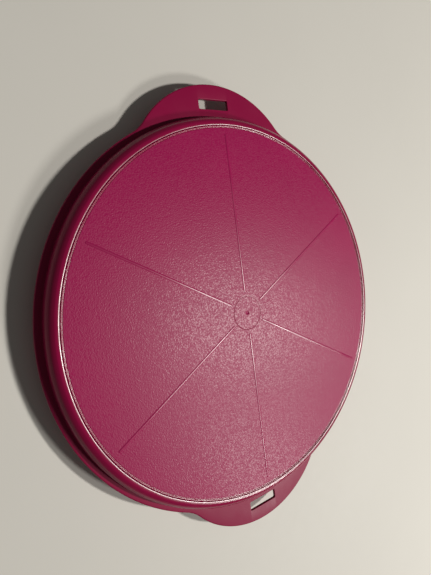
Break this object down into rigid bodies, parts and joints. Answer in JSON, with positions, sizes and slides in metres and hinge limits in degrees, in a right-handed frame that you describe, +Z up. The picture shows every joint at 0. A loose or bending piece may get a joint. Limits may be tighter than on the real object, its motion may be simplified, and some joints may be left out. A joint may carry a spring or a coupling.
{
  "type": "salad spinner lid",
  "caption": "Round salad spinner lid with a ribbed drive plate in a raised rim, slotted side lugs, and a folding crank that turns the plate through planetary gears.",
  "frame": {"origin": "centre of the lid on the surface that it lies on, crank side down", "axes": "+Z up through the drive plate, X through both lugs"},
  "size_m": [0.3056, 0.27, 0.0224],
  "materials": {
    "rim_plastic": "satin moulded plastic",
    "plate_plastic": "fine moulded grain",
    "grip_plastic": "satin",
    "gear_plastic": "natural moulded",
    "steel": "bright"
  },
  "bodies": {
    "lid": {"lid_rim": "rim_plastic", "top_cover": "rim_plastic", "cover_screws": "steel", "ring_gear": "gear_plastic", "ring_screws": "steel", "plate_bush": "gear_plastic"},
    "plate": {"drive_plate": "plate_plastic", "hub_cap": "plate_plastic", "plate_screw": "steel", "drive_shaft": "steel", "sun_gear": "gear_plastic", "shaft_clip": "steel", "thrust_washer": "gear_plastic"},
    "crank": {"crank_disc": "rim_plastic", "planet_pins": "steel", "planet_washers": "steel", "planet_clips": "steel", "handle_pin": "steel"},
    "handle": {"crank_handle": "grip_plastic", "detent_springs": "steel"},
    "planet_1": {"planet_gear_1": "gear_plastic"},
    "planet_2": {"planet_gear_2": "gear_plastic"},
    "planet_3": {"planet_gear_3": "gear_plastic"}
  },
  "joints": [
    {"name": "plate_spin", "type": "hinge", "parent": "lid", "child": "plate", "pos_m": [0, 0, 0], "axis": [0, 0, 1], "continuous": true},
    {"name": "crank_turn", "type": "hinge", "parent": "lid", "child": "crank", "pos_m": [0, 0, 0], "axis": [0, 0, 1], "continuous": true},
    {"name": "handle_fold", "type": "hinge", "parent": "crank", "child": "handle", "pos_m": [0.056, 0, 0.0037], "axis": [0, -1, 0], "range_deg": [0, 90]},
    {"name": "planet_1_spin", "type": "hinge", "parent": "crank", "child": "planet_1", "pos_m": [0.018, 0.03118, 0], "axis": [0, 0, 1], "continuous": true},
    {"name": "planet_2_spin", "type": "hinge", "parent": "crank", "child": "planet_2", "pos_m": [-0.036, 0, 0], "axis": [0, 0, 1], "continuous": true},
    {"name": "planet_3_spin", "type": "hinge", "parent": "crank", "child": "planet_3", "pos_m": [0.018, -0.03118, 0], "axis": [0, 0, 1], "continuous": true}
  ],
  "couplings": [
    {"joint": "crank_turn", "follows": "plate_spin", "ratio": 0.25},
    {"joint": "planet_1_spin", "follows": "plate_spin", "ratio": -0.75},
    {"joint": "planet_2_spin", "follows": "plate_spin", "ratio": -0.75},
    {"joint": "planet_3_spin", "follows": "plate_spin", "ratio": -0.75}
  ]
}
